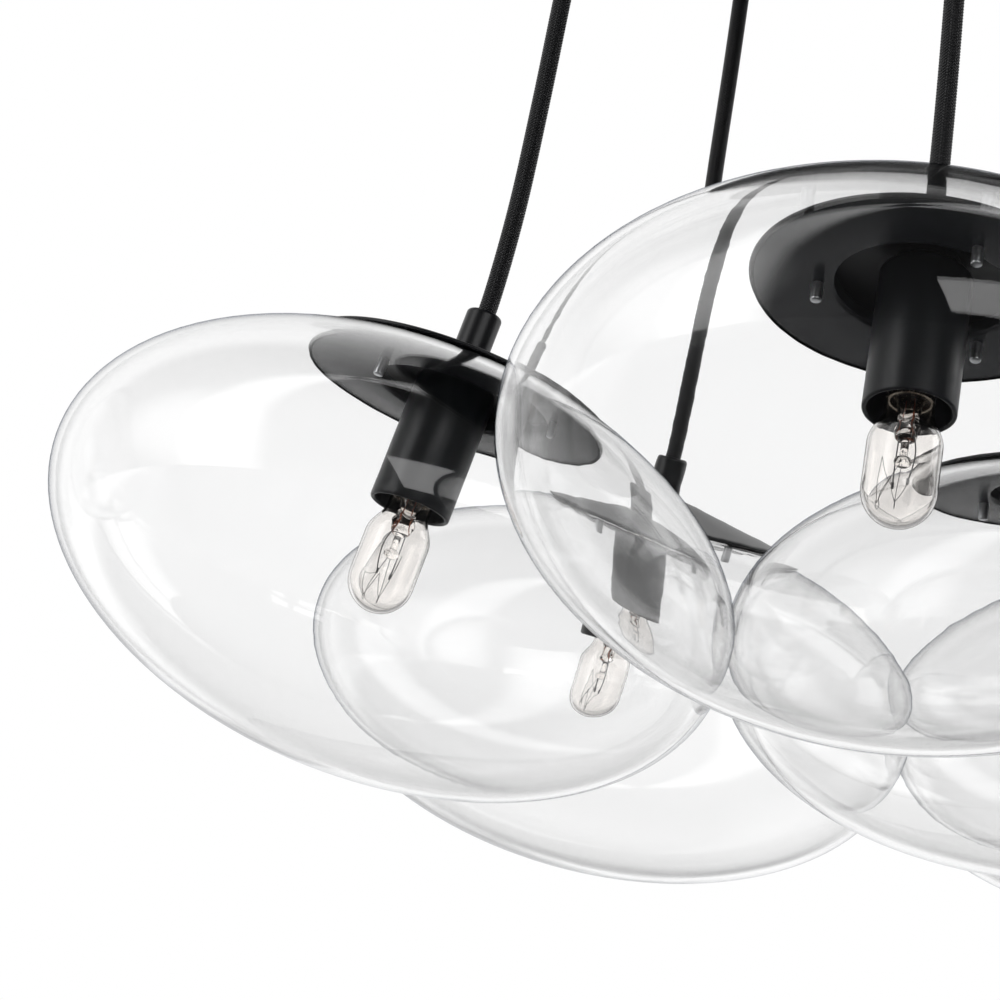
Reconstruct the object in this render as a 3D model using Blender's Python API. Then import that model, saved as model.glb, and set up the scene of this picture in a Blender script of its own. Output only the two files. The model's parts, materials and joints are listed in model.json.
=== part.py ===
# Bubble chandelier: seven flattened clear glass globes that hang from one round ceiling canopy
# on black textile cords. Six globes stand in a ring, leaning against each other with their
# bottoms outward, round one upright globe that hangs a little lower in the middle.
# Metres, +Z up. The origin is the middle of the crossbar's top face, on the ceiling.
import math

import bmesh
import bpy
from mathutils import Matrix, Vector

for leftover in list(bpy.data.objects):
    bpy.data.objects.remove(leftover, do_unlink=True)

# Driving dimensions

MM = 0.001
TOUCH_GAP = 0.3 * MM  # left between pieces that rest on each other
OVERRUN = 2 * MM  # how far a cutter runs past the wall that it cuts

RING_COUNT = 6
RING_LEAN = math.radians(17)  # how far a ring pendant's axis leans to the middle
SWING_RANGE = math.radians(20)  # how far a ring pendant can be swung outward

GLOBE_DIAMETER = 240 * MM
GLOBE_HEIGHT = 144 * MM  # of the whole flattened ball, before its mouth is cut
GLOBE_WALL = 2.2 * MM
GLOBE_SPACING_GAP = 1 * MM  # between ring globes, where they rest on each other
MOUTH_DIAMETER = 105 * MM

LID_DIAMETER = 112 * MM
LID_RISE = 12 * MM
LID_EDGE = 2.4 * MM
LID_SHEET = 2 * MM
LID_PAD_DIAMETER = 20 * MM  # the flat in the middle of the dome
LID_RIM_WIDTH = 6.4 * MM

RETAINER_SHEET = 2 * MM
WELL_DIAMETER = 54 * MM  # the hole that lets the lamp holder through
WELL_LIP = 1.5 * MM
WELL_LIP_HEIGHT = 3 * MM

SOCKET_DIAMETER = 28.4 * MM
SOCKET_REACH = 45 * MM  # how far the cup reaches below the globe's mouth
SOCKET_SHOULDER_DIAMETER = 20 * MM
SOCKET_SHOULDER = 2.5 * MM
SOCKET_WALL = 1.6 * MM
SOCKET_MOUTH_DEPTH = 12 * MM
NIPPLE_DIAMETER = 9.8 * MM
NIPPLE_IN_COLLAR = 5 * MM

BULB_DIAMETER = 24 * MM
BULB_REACH = 38 * MM  # how far the bulb shows below the cup
BULB_NECK_DIAMETER = 15 * MM
BULB_SHOULDER = 11 * MM  # the length in which the neck widens to the tube
CAP_DIAMETER = 13.8 * MM  # the small screw cap
CAP_LENGTH = 20 * MM
CONTACT_DIAMETER = 8 * MM
CONTACT_HEIGHT = 3 * MM
CAP_CLEARANCE = 0.55 * MM  # round the cap, so that it turns

COLLAR_DIAMETER = 12.6 * MM
COLLAR_HEIGHT = 17 * MM
COLLAR_CHAMFER = 1.5 * MM

CORD_DIAMETER = 6.4 * MM
CORD_CLEARANCE = 0.35 * MM  # round the cord in the collar's bore
CORD_STEP = 16 * MM  # between the points of a cord's curve

CANOPY_DIAMETER = 410 * MM
CANOPY_DEPTH = 38 * MM
CANOPY_SHEET = 1.5 * MM
CANOPY_EDGE_RADIUS = 7 * MM
PORT_FROM_EDGE = 25 * MM  # from the canopy's edge in to the ring pendants' cord exits
CORD_DROP = 305 * MM  # from the grips' lower ends down to the ring globes' middles
CENTRE_DROP = 15 * MM  # how much lower the middle globe hangs

GRIP_DIAMETER = 17 * MM
GRIP_BELOW = 12 * MM  # how far a grip stands out below the canopy
GRIP_FLANGE_DIAMETER = 24 * MM
GRIP_FLANGE = 3 * MM
GRIP_PIVOT_DEPTH = 5 * MM  # from a grip's lower end up to where its cord bends
CENTRE_STEM = 14 * MM  # how far the middle grip's sleeve stands up inside the canopy

BAR_LENGTH = 250 * MM
BAR_WIDTH = 25 * MM
BAR_THICKNESS = 3 * MM
BAR_STEM_DIAMETER = 10 * MM
BAR_STEM_GRIP = 9.5 * MM  # how far the bar's stem enters the middle grip
SLOT_SPACING = 88 * MM
SLOT_LENGTH = 14 * MM
SLOT_WIDTH = 5.2 * MM

BLOCK_SIZE = (44 * MM, 20 * MM, 15 * MM)
BLOCK_OFFSET = 96 * MM
BLOCK_WAYS = 3
WIRE_HOLE = 3.6 * MM
WIRE_HOLE_DEPTH = 8 * MM

# How many facets go round each kind of piece, and how many steps a curve takes
GLOBE_SIDES = 24
GLOBE_STEPS = 9
GLOBE_INNER_STEPS = 6
LID_SIDES = 20
LID_STEPS = 4
LID_INNER_STEPS = 3
SMALL_SIDES = 12
CANOPY_SIDES = 40
EDGE_STEPS = 3
BULB_STEPS = 3
CORD_ROUNDNESS = 2

# The ring cord's way from its grip to its collar: share of the drop, share of the run outward
CORD_ROUTE_SHARES = ((0.10, 0.05), (0.27, 0.20), (0.46, 0.39), (0.65, 0.57), (0.84, 0.77))

# Colours, roughness and metalness of the finishes
FINISHES = {
    "black_metal": ((0.012, 0.012, 0.014, 1.0), 0.38, 0.6),
    "black_textile": ((0.010, 0.010, 0.011, 1.0), 0.85, 0.0),
    "clear_glass": ((0.93, 0.95, 0.96, 1.0), 0.03, 0.0),
    "bulb_glass": ((0.97, 0.95, 0.90, 1.0), 0.05, 0.0),
    "zinc_steel": ((0.55, 0.56, 0.57, 1.0), 0.35, 1.0),
    "white_plastic": ((0.80, 0.80, 0.78, 1.0), 0.45, 0.0),
}

# Sizes that follow from the ones above

globe_radius = GLOBE_DIAMETER / 2
globe_half_height = GLOBE_HEIGHT / 2
mouth_radius = MOUTH_DIAMETER / 2
lid_radius = LID_DIAMETER / 2
cord_radius = CORD_DIAMETER / 2
facet_share = math.cos(math.pi / SMALL_SIDES)  # a facet's middle lies this much further in


def ball_height(radius, half_width, half_height):
    """The height above its middle at which a flattened ball is this wide."""
    return half_height * math.sqrt(1 - (radius / half_width) ** 2)


# Heights on a pendant's own axis, from the middle of its globe
seat = ball_height(mouth_radius, globe_radius, globe_half_height)
inner_edge = ball_height(mouth_radius, globe_radius - GLOBE_WALL, globe_half_height - GLOBE_WALL)
lid_foot = seat + TOUCH_GAP
lid_top = lid_foot + LID_RISE
pad_under = lid_top - LID_SHEET
shoulder_top = pad_under - TOUCH_GAP
cup_mouth = seat - SOCKET_REACH
collar_foot = lid_top + TOUCH_GAP
collar_top = collar_foot + COLLAR_HEIGHT
nipple_top = collar_foot + NIPPLE_IN_COLLAR
cord_end = nipple_top + TOUCH_GAP
cap_foot = cup_mouth + BULB_NECK_DIAMETER / 5
contact_top = cap_foot + CAP_LENGTH + CONTACT_HEIGHT
bulb_tip = cup_mouth - BULB_REACH

# A ring globe touches the upright plane half way to its neighbour, which fixes the ring's size
half_turn = math.pi / RING_COUNT
lean_to_neighbour = math.sin(RING_LEAN) * math.sin(half_turn)
reach_to_neighbour = math.hypot(
    globe_radius * math.sqrt(1 - lean_to_neighbour**2), globe_half_height * lean_to_neighbour
)
ring_radius = (reach_to_neighbour + GLOBE_SPACING_GAP / 2) / math.sin(half_turn)

# Places in the room, and heights from the ceiling down
port_radius = CANOPY_DIAMETER / 2 - PORT_FROM_EDGE
cover_face = -CANOPY_DEPTH
cover_floor = cover_face + CANOPY_SHEET
grip_foot = cover_face - GRIP_BELOW
pivot_height = grip_foot + GRIP_PIVOT_DEPTH
ring_height = grip_foot - CORD_DROP
centre_height = ring_height - CENTRE_DROP

# The grip's bore clears the cord at every angle of the swing
bore_radius = (cord_radius / math.cos(SWING_RANGE) + TOUCH_GAP) / facet_share
bell_radius = bore_radius + GRIP_PIVOT_DEPTH * math.tan(SWING_RANGE) / facet_share
bore_top = pivot_height + cord_radius * math.sin(SWING_RANGE) + TOUCH_GAP


def finish(name):
    """The material of one finish, made once."""
    if name in bpy.data.materials:
        return bpy.data.materials[name]
    colour, roughness, metallic = FINISHES[name]
    made = bpy.data.materials.new(name)
    made.use_nodes = True
    shader = made.node_tree.nodes["Principled BSDF"]
    shader.inputs["Base Color"].default_value = colour
    shader.inputs["Roughness"].default_value = roughness
    shader.inputs["Metallic"].default_value = metallic
    if name.endswith("glass"):
        shader.inputs["Transmission Weight"].default_value = 1.0
    made.diffuse_color = colour
    return made


def add_node(name, mesh, material, parent=None, place=Matrix()):
    """One named piece, in its finish, placed in its parent's frame."""
    made = bpy.data.objects.new(name, mesh)
    bpy.context.scene.collection.objects.link(made)
    if not mesh.materials:
        mesh.materials.append(finish(material))
    made.parent = parent
    made.matrix_local = place
    return made


def add_empty(name, parent=None, place=Matrix()):
    """A guide that carries pieces, such as a joint's axis."""
    made = bpy.data.objects.new(name, None)
    bpy.context.scene.collection.objects.link(made)
    made.parent = parent
    made.matrix_local = place
    return made


def turned(name, outline, sides):
    """A closed turned mesh. The outline is (radius, height) points, from the axis or round a bore."""
    shape = bmesh.new()
    points = [shape.verts.new((radius, 0, height)) for radius, height in outline]
    for first, second in zip(points, points[1:]):
        shape.edges.new((first, second))
    if outline[0][0] > 0:
        shape.edges.new((points[-1], points[0]))
    bmesh.ops.spin(
        shape,
        geom=shape.verts[:] + shape.edges[:],
        cent=(0, 0, 0),
        axis=(0, 0, 1),
        angle=math.tau,
        steps=sides,
        use_merge=True,
    )
    bmesh.ops.remove_doubles(shape, verts=shape.verts[:], dist=TOUCH_GAP / 100)
    bmesh.ops.recalc_face_normals(shape, faces=shape.faces[:])
    mesh = bpy.data.meshes.new(name)
    shape.to_mesh(mesh)
    shape.free()
    mesh.shade_smooth()
    mesh.set_sharp_from_angle(angle=math.radians(35))
    return mesh


def globe_outline():
    """The glass from its lowest point up its outer side, over the mouth's edge and down inside."""
    points = []
    for half_width, half_height, top, steps in (
        (globe_radius, globe_half_height, seat, GLOBE_STEPS),
        (globe_radius - GLOBE_WALL, globe_half_height - GLOBE_WALL, inner_edge, GLOBE_INNER_STEPS),
    ):
        swept = math.asin(top / half_height) + math.pi / 2
        rise = [-math.pi / 2 + swept * step / steps for step in range(steps + 1)]
        side = [(half_width * math.cos(a), half_height * math.sin(a)) for a in rise]
        side[0] = (0, -half_height)
        side[-1] = (mouth_radius, top)
        points += side if not points else side[::-1]
    return points


def dome_height(radius):
    """The height of the lid's top at this radius."""
    pad = LID_PAD_DIAMETER / 2
    share = max(radius - pad, 0) / (lid_radius - pad)
    return lid_foot + LID_EDGE + (LID_RISE - LID_EDGE) * (1 - share**2)


def lid_outline():
    """A domed sheet with a flat pad in the middle and a thick flat rim that rests on the glass."""
    bore = NIPPLE_DIAMETER / 2 + TOUCH_GAP / facet_share
    pad = LID_PAD_DIAMETER / 2
    rim = lid_radius - LID_RIM_WIDTH
    over = [pad + (lid_radius - pad) * step / LID_STEPS for step in range(LID_STEPS + 1)]
    under = [rim + (pad - rim) * step / LID_INNER_STEPS for step in range(LID_INNER_STEPS + 1)]
    return (
        [(bore, lid_top)]
        + [(radius, dome_height(radius)) for radius in over]
        + [(lid_radius, lid_foot), (rim, lid_foot)]
        + [(radius, dome_height(radius) - LID_SHEET) for radius in under]
        + [(bore, pad_under)]
    )


def retainer_outline():
    """The plate that is bonded in the glass's mouth, with a lip round its middle hole."""
    edge = mouth_radius * math.cos(math.pi / GLOBE_SIDES) - TOUCH_GAP
    well = WELL_DIAMETER / 2
    under = seat - RETAINER_SHEET
    return [
        (well, under),
        (edge, under),
        (edge, seat),
        (well + WELL_LIP, seat),
        (well + WELL_LIP, seat + WELL_LIP_HEIGHT),
        (well, seat + WELL_LIP_HEIGHT),
    ]


def socket_outline():
    """The lamp holder: a hollow cup with a sloping shoulder, and the nipple that goes up into the collar."""
    cup = SOCKET_DIAMETER / 2
    holder = CAP_DIAMETER / 2 + CAP_CLEARANCE / facet_share
    holder_floor = contact_top + TOUCH_GAP
    return [
        (0, nipple_top),
        (NIPPLE_DIAMETER / 2, nipple_top),
        (NIPPLE_DIAMETER / 2, shoulder_top),
        (SOCKET_SHOULDER_DIAMETER / 2, shoulder_top),
        (SOCKET_SHOULDER_DIAMETER / 2, shoulder_top - SOCKET_SHOULDER),
        (cup, shoulder_top - 2 * SOCKET_SHOULDER),
        (cup, cup_mouth),
        (cup - SOCKET_WALL, cup_mouth),
        (cup - SOCKET_WALL, cup_mouth + SOCKET_MOUTH_DEPTH),
        (holder, cup_mouth + SOCKET_MOUTH_DEPTH),
        (holder, holder_floor),
        (0, holder_floor),
    ]


def bulb_outline():
    """A clear tubular bulb: round end, tube, shoulder and neck, then its cap and contact."""
    tube = BULB_DIAMETER / 2
    neck = BULB_NECK_DIAMETER / 2
    cap = CAP_DIAMETER / 2
    shoulder = cup_mouth - TOUCH_GAP
    quarter = [math.pi / 2 * step / BULB_STEPS for step in range(BULB_STEPS + 1)]
    end = [(tube * math.sin(a), bulb_tip + tube * (1 - math.cos(a))) for a in quarter]
    swell = [
        (
            tube + (neck - tube) * (1 - math.cos(2 * a)) / 2,
            shoulder - BULB_SHOULDER + BULB_SHOULDER * 2 * a / math.pi,
        )
        for a in quarter
    ]
    return (
        [(0, bulb_tip)]
        + end[1:]
        + swell
        + [(neck, cap_foot), (cap, cap_foot), (cap, cap_foot + CAP_LENGTH)]
        + [(CONTACT_DIAMETER / 2, contact_top), (0, contact_top)]
    )


def collar_outline():
    """The small sleeve on the lid that holds the cord above and the holder's nipple below."""
    outside = COLLAR_DIAMETER / 2
    bore = cord_radius + CORD_CLEARANCE / facet_share
    nut = NIPPLE_DIAMETER / 2 + TOUCH_GAP / facet_share
    return [
        (nut, collar_foot),
        (outside, collar_foot),
        (outside, collar_top - COLLAR_CHAMFER),
        (outside - COLLAR_CHAMFER, collar_top),
        (bore, collar_top),
        (bore, cord_end),
        (nut, cord_end),
    ]


def cord_hole_outline():
    """A grip's lower end as far as its outer edge, with the bell mouth that the cord swings in."""
    outside = GRIP_DIAMETER / 2
    return [
        (0, bore_top),
        (bore_radius, bore_top),
        (bore_radius, pivot_height),
        (bell_radius, grip_foot),
        (outside, grip_foot),
    ]


def ring_grip_outline():
    """A stepped bush that sits in its hole on a flange inside the canopy."""
    flange_foot = cover_floor + TOUCH_GAP
    return cord_hole_outline() + [
        (GRIP_DIAMETER / 2, flange_foot),
        (GRIP_FLANGE_DIAMETER / 2, flange_foot),
        (GRIP_FLANGE_DIAMETER / 2, flange_foot + GRIP_FLANGE),
        (0, flange_foot + GRIP_FLANGE),
    ]


def centre_grip_outline():
    """The middle grip is also the nut that clamps the cover: its sleeve takes the bar's stem."""
    flange_top_face = cover_face - TOUCH_GAP
    sleeve = cover_floor + CENTRE_STEM
    bore = BAR_STEM_DIAMETER / 2 + TOUCH_GAP / facet_share
    bore_floor = sleeve - BAR_STEM_GRIP - TOUCH_GAP
    return cord_hole_outline() + [
        (GRIP_DIAMETER / 2, flange_top_face - GRIP_FLANGE),
        (GRIP_FLANGE_DIAMETER / 2, flange_top_face - GRIP_FLANGE),
        (GRIP_FLANGE_DIAMETER / 2, flange_top_face),
        (GRIP_DIAMETER / 2, flange_top_face),
        (GRIP_DIAMETER / 2, sleeve),
        (bore, sleeve),
        (bore, bore_floor),
        (0, bore_floor),
    ]


def cover_outline():
    """The canopy cover: a shallow pan, open to the ceiling, with a rounded lower edge."""
    outside = CANOPY_DIAMETER / 2
    quarter = [math.pi / 2 * step / EDGE_STEPS for step in range(EDGE_STEPS + 1)]

    def corner(radius):
        across = outside - CANOPY_EDGE_RADIUS
        down = cover_face + CANOPY_EDGE_RADIUS
        return [(across + radius * math.cos(a), down - radius * math.sin(a)) for a in quarter]

    return (
        [(outside, 0)]
        + corner(CANOPY_EDGE_RADIUS)
        + [(0, cover_face), (0, cover_floor)]
        + corner(CANOPY_EDGE_RADIUS - CANOPY_SHEET)[::-1]
        + [(outside - CANOPY_SHEET, 0)]
    )


def smooth_route(points):
    """Points an even step apart on a smooth curve through the route's own points."""
    fine = []
    padded = [2 * points[0] - points[1]] + points + [2 * points[-1] - points[-2]]
    pieces = 12
    for before, start, stop, after in zip(padded, padded[1:], padded[2:], padded[3:]):
        for step in range(pieces):
            t = step / pieces
            fine.append(
                0.5
                * (
                    2 * start
                    + (stop - before) * t
                    + (2 * before - 5 * start + 4 * stop - after) * t**2
                    + (3 * start - before - 3 * stop + after) * t**3
                )
            )
    fine.append(points[-1])
    runs = [(b - a).length for a, b in zip(fine, fine[1:])]
    count = max(round(sum(runs) / CORD_STEP), 1)
    spaced, done, index = [fine[0]], 0, 0
    for number in range(1, count):
        target = sum(runs) * number / count
        while done + runs[index] < target:
            done += runs[index]
            index += 1
        spaced.append(fine[index].lerp(fine[index + 1], (target - done) / runs[index]))
    return spaced + [fine[-1]]


def add_cord(name, points, parent):
    """A cord as a curve with a round section and closed ends."""
    curve = bpy.data.curves.new(name, "CURVE")
    curve.dimensions = "3D"
    curve.bevel_depth = cord_radius
    curve.bevel_resolution = CORD_ROUNDNESS
    curve.use_fill_caps = True
    line = curve.splines.new("POLY")
    line.points.add(len(points) - 1)
    for point, place in zip(line.points, points):
        point.co = (*place, 1)
    line.use_smooth = True
    curve.materials.append(finish("black_textile"))
    made = bpy.data.objects.new(name, curve)
    bpy.context.scene.collection.objects.link(made)
    made.parent = parent
    return made


def ring_cord_points():
    """The ring cord in its pivot's frame: +X outward, the pivot at zero."""
    axis = Vector((-math.sin(RING_LEAN), 0, math.cos(RING_LEAN)))
    globe_middle = Vector((ring_radius - port_radius, 0, ring_height - pivot_height))
    end = globe_middle + axis * cord_end
    leaving = globe_middle + axis * (collar_top + CORD_DIAMETER)
    straight = Vector((0, 0, -GRIP_PIVOT_DEPTH))
    run = leaving - straight
    middle = [straight + Vector((run.x * out, 0, run.z * down)) for down, out in CORD_ROUTE_SHARES]
    return smooth_route([Vector((0, 0, 0)), straight] + middle + [leaving, end])


def centre_cord_points():
    """The middle cord hangs straight down."""
    down = centre_height + cord_end - pivot_height
    return smooth_route([Vector((0, 0, 0)), Vector((0, 0, down))])


def add_pendant(tag, pivot, axis, cord_points, meshes):
    """One pendant: what hangs on its cord, on the globe's own axis."""
    add_cord(f"cord_{tag}", cord_points, pivot)
    add_node(f"collar_{tag}", meshes["collar"], "black_metal", axis)
    add_node(f"lid_{tag}", meshes["lid"], "black_metal", axis)
    add_node(f"retainer_{tag}", meshes["retainer"], "black_metal", axis)
    add_node(f"globe_{tag}", meshes["globe"], "clear_glass", axis)
    add_node(f"socket_{tag}", meshes["socket"], "black_metal", axis)
    add_node(f"bulb_{tag}", meshes["bulb"], "bulb_glass", axis)


def add_pendants():
    """Six leaning pendants in a ring, and an upright one in the middle."""
    meshes = {
        "collar": turned("collar", collar_outline(), SMALL_SIDES),
        "lid": turned("lid", lid_outline(), LID_SIDES),
        "retainer": turned("retainer", retainer_outline(), LID_SIDES),
        "globe": turned("globe", globe_outline(), GLOBE_SIDES),
        "socket": turned("socket", socket_outline(), SMALL_SIDES),
        "bulb": turned("bulb", bulb_outline(), SMALL_SIDES),
    }
    grip = turned("ring_grip", ring_grip_outline(), SMALL_SIDES)
    cord_points = ring_cord_points()
    for number in range(RING_COUNT):
        tag = str(number + 1)
        turn = Matrix.Rotation(math.tau * number / RING_COUNT, 4, "Z")
        port = turn @ Matrix.Translation((port_radius, 0, 0))
        add_node(f"cord_grip_{tag}", grip, "black_metal", None, port)
        pivot = add_empty(f"pivot_{tag}", None, port @ Matrix.Translation((0, 0, pivot_height)))
        middle = Matrix.Translation((ring_radius - port_radius, 0, ring_height - pivot_height))
        axis = add_empty(f"axis_{tag}", pivot, middle @ Matrix.Rotation(-RING_LEAN, 4, "Y"))
        add_pendant(tag, pivot, axis, cord_points, meshes)
    tag = "centre"
    add_node(f"cord_grip_{tag}", turned("centre_grip", centre_grip_outline(), SMALL_SIDES), "black_metal")
    pivot = add_empty(f"pivot_{tag}", None, Matrix.Translation((0, 0, pivot_height)))
    middle = Matrix.Translation((0, 0, centre_height - pivot_height))
    axis = add_empty(f"axis_{tag}", pivot, middle)
    add_pendant(tag, pivot, axis, centre_cord_points(), meshes)


def cut(target, cutters):
    """Live cuts in a piece. The cutters stay as hidden wire shapes."""
    for cutter in cutters:
        cutter.hide_render = True
        cutter.display_type = "WIRE"
        tool = target.modifiers.new(cutter.name, "BOOLEAN")
        tool.operation = "DIFFERENCE"
        tool.object = cutter


def rounded_slot(name, length, width, depth):
    """A slot's cutter: two half rounds and the sides between them, along X."""
    shape = bmesh.new()
    straight = (length - width) / 2
    ring = []
    for side in (1, -1):
        for step in range(SMALL_SIDES // 2 + 1):
            angle = -math.pi / 2 + math.pi * step / (SMALL_SIDES // 2)
            ring.append((side * (straight + width / 2 * math.cos(angle)), side * width / 2 * math.sin(angle)))
    face = shape.faces.new([shape.verts.new((x, y, -depth / 2)) for x, y in ring])
    lifted = bmesh.ops.extrude_face_region(shape, geom=[face])
    moved = [part for part in lifted["geom"] if isinstance(part, bmesh.types.BMVert)]
    bmesh.ops.translate(shape, verts=moved, vec=(0, 0, depth))
    bmesh.ops.recalc_face_normals(shape, faces=shape.faces[:])
    mesh = bpy.data.meshes.new(name)
    shape.to_mesh(mesh)
    shape.free()
    return mesh


def block_mesh(name, size):
    """A plain block of this size, round its own middle."""
    shape = bmesh.new()
    bmesh.ops.create_cube(shape, size=1)
    bmesh.ops.scale(shape, vec=size, verts=shape.verts[:])
    mesh = bpy.data.meshes.new(name)
    shape.to_mesh(mesh)
    shape.free()
    return mesh


def add_cover():
    """The canopy cover, with a hole for each grip."""
    cover = add_node("canopy_cover", turned("cover", cover_outline(), CANOPY_SIDES), "black_metal")
    radius = (GRIP_DIAMETER / 2 + TOUCH_GAP) / facet_share
    low, high = cover_face - OVERRUN, cover_floor + OVERRUN
    hole = turned("hole", [(0, low), (radius, low), (radius, high), (0, high)], SMALL_SIDES)
    cutters = []
    for number in range(RING_COUNT + 1):
        angle = math.tau * number / RING_COUNT
        radius_out = port_radius if number < RING_COUNT else 0
        place = Matrix.Rotation(angle, 4, "Z") @ Matrix.Translation((radius_out, 0, 0))
        cutters.append(add_node(f"cut_port_{number + 1}", hole, "black_metal", None, place))
    cut(cover, cutters)


def add_crossbar():
    """The steel strap on the ceiling, with two screw slots and a threaded stem in its middle."""
    bar = add_node("ceiling_crossbar", block_mesh("bar", (BAR_LENGTH, BAR_WIDTH, BAR_THICKNESS)), "zinc_steel")
    bar.data.transform(Matrix.Translation((0, 0, -BAR_THICKNESS / 2)))
    stem_foot = cover_floor + CENTRE_STEM - BAR_STEM_GRIP
    root = -BAR_THICKNESS / 2
    outline = [(0, stem_foot), (BAR_STEM_DIAMETER / 2, stem_foot), (BAR_STEM_DIAMETER / 2, root), (0, root)]
    stem = add_node("guide_stem", turned("stem", outline, SMALL_SIDES), "zinc_steel")
    stem.hide_render = True
    stem.display_type = "WIRE"
    weld = bar.modifiers.new("stem", "BOOLEAN")
    weld.operation = "UNION"
    weld.object = stem
    slot = rounded_slot("slot", SLOT_LENGTH, SLOT_WIDTH, BAR_THICKNESS + 2 * OVERRUN)
    cutters = []
    for number, side in enumerate((1, -1)):
        place = Matrix.Translation((side * SLOT_SPACING / 2, 0, -BAR_THICKNESS / 2))
        cutters.append(add_node(f"cut_slot_{number + 1}", slot, "zinc_steel", None, place))
    cut(bar, cutters)


def add_terminal_block():
    """The terminal block under one arm of the crossbar, with its wire holes along Y."""
    length, width, height = BLOCK_SIZE
    middle = Vector((BLOCK_OFFSET, 0, -BAR_THICKNESS - TOUCH_GAP - height / 2))
    block = add_node("terminal_block", block_mesh("block", BLOCK_SIZE), "white_plastic", None)
    block.matrix_local = Matrix.Translation(middle)
    hole = block_mesh("wire_hole", (WIRE_HOLE, WIRE_HOLE_DEPTH + OVERRUN, WIRE_HOLE))
    cutters = []
    for way in range(BLOCK_WAYS):
        along = length * ((way + 0.5) / BLOCK_WAYS - 0.5)
        for side in (1, -1):
            across = side * (width / 2 + OVERRUN - (WIRE_HOLE_DEPTH + OVERRUN) / 2)
            place = Matrix.Translation(middle + Vector((along, across, 0)))
            cutters.append(add_node(f"cut_way_{way + 1}_{side}", hole, "white_plastic", None, place))
    cut(block, cutters)


add_cover()
add_crossbar()
add_terminal_block()
add_pendants()
bpy.context.view_layer.update()
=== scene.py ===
# Looks of the bubble chandelier: blown clear glass globes, satin black lids, collars and lamp
# holders, clear tubular bulbs with their filaments, braided cords, and the canopy with its bar.
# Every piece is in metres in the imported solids' own frame.
import json
import math

import bmesh
import bpy
from mathutils import Matrix, Vector, noise


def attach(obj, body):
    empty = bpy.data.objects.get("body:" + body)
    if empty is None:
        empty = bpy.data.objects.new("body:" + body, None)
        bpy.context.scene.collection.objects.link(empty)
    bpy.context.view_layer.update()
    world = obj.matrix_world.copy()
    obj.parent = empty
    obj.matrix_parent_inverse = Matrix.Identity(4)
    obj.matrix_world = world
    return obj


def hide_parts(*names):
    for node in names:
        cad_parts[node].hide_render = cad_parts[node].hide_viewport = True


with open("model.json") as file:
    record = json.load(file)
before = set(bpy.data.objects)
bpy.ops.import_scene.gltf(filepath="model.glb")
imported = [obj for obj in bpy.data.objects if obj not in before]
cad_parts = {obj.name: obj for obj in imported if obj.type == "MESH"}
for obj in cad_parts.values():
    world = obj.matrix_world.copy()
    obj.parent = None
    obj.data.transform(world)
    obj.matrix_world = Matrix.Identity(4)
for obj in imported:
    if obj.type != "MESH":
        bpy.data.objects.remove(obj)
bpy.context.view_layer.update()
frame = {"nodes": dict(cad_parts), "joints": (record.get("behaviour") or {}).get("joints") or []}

MM = 0.001
MERGE = 0.002 * MM  # points closer than this become one
TOUCH_GAP = 0.3 * MM

# Sizes as in the solids, apart from a narrower, thinner lid and a narrower bulb

RING_TAGS = ("1", "2", "3", "4", "5", "6")
TAGS = RING_TAGS + ("centre",)

GLOBE_RADIUS = 120 * MM
GLOBE_HALF_HEIGHT = 72 * MM
GLOBE_WALL = 2.2 * MM
MOUTH_RADIUS = 52.5 * MM

LID_RADIUS = 53.8 * MM  # 56 in the solids
LID_RISE = 12 * MM
LID_EDGE = 1.2 * MM  # 2.4 in the solids
LID_SHEET = 2 * MM
LID_PAD_RADIUS = 10 * MM
LID_RIM_WIDTH = 6.4 * MM

RETAINER_SHEET = 2 * MM
RETAINER_RADIUS = 51.75 * MM
WELL_RADIUS = 27 * MM
WELL_LIP = 1.5 * MM
WELL_LIP_HEIGHT = 3 * MM

CUP_RADIUS = 14.2 * MM
CUP_REACH = 45 * MM
CUP_WALL = 1.6 * MM
CUP_MOUTH_DEPTH = 12 * MM
SHOULDER_RADIUS = 10 * MM
SHOULDER_STEP = 2.5 * MM
NIPPLE_RADIUS = 4.9 * MM
NIPPLE_ABOVE_LID = 5 * MM

COLLAR_RADIUS = 6.3 * MM
COLLAR_HEIGHT = 17 * MM
COLLAR_ROUND = 1.5 * MM
CORD_RADIUS = 3.2 * MM
CORD_CLEARANCE = 0.35 * MM

BULB_RADIUS = 11.3 * MM  # 12 in the solids
BULB_REACH = 38 * MM
BULB_NECK_RADIUS = 7.5 * MM
BULB_SHOULDER = 11 * MM
BULB_WALL = 0.7 * MM
CAP_RADIUS = 6.9 * MM
CAP_LENGTH = 20 * MM
CAP_INSET = 3 * MM  # from the cup's mouth up to the cap
CONTACT_RADIUS = 4 * MM
CONTACT_HEIGHT = 3 * MM

CANOPY_RADIUS = 205 * MM
CANOPY_DEPTH = 38 * MM
CANOPY_SHEET = 1.5 * MM
CANOPY_EDGE_ROUND = 7 * MM
PORT_RADIUS = 180 * MM

GRIP_RADIUS = 8.5 * MM
GRIP_BELOW = 12 * MM
GRIP_FLANGE_RADIUS = 12 * MM
GRIP_FLANGE = 3 * MM
GRIP_BORE_RADIUS = 3.8 * MM
GRIP_BELL_RADIUS = 5.6 * MM
GRIP_PIVOT_DEPTH = 5 * MM
CENTRE_STEM = 14 * MM
SLEEVE_BORE_RADIUS = 5.35 * MM
SLEEVE_BORE_DEPTH = 9.8 * MM

# The ring cord's way from its grip to its collar: share of the drop, share of the run outward
CORD_ROUTE_SHARES = ((0.10, 0.05), (0.27, 0.20), (0.46, 0.39), (0.65, 0.57), (0.84, 0.77))

STUD_RADIUS = 1.8 * MM
STUD_REACH = 6.5 * MM
STUD_CIRCLE = 32 * MM
STUD_COUNT = 3
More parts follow.
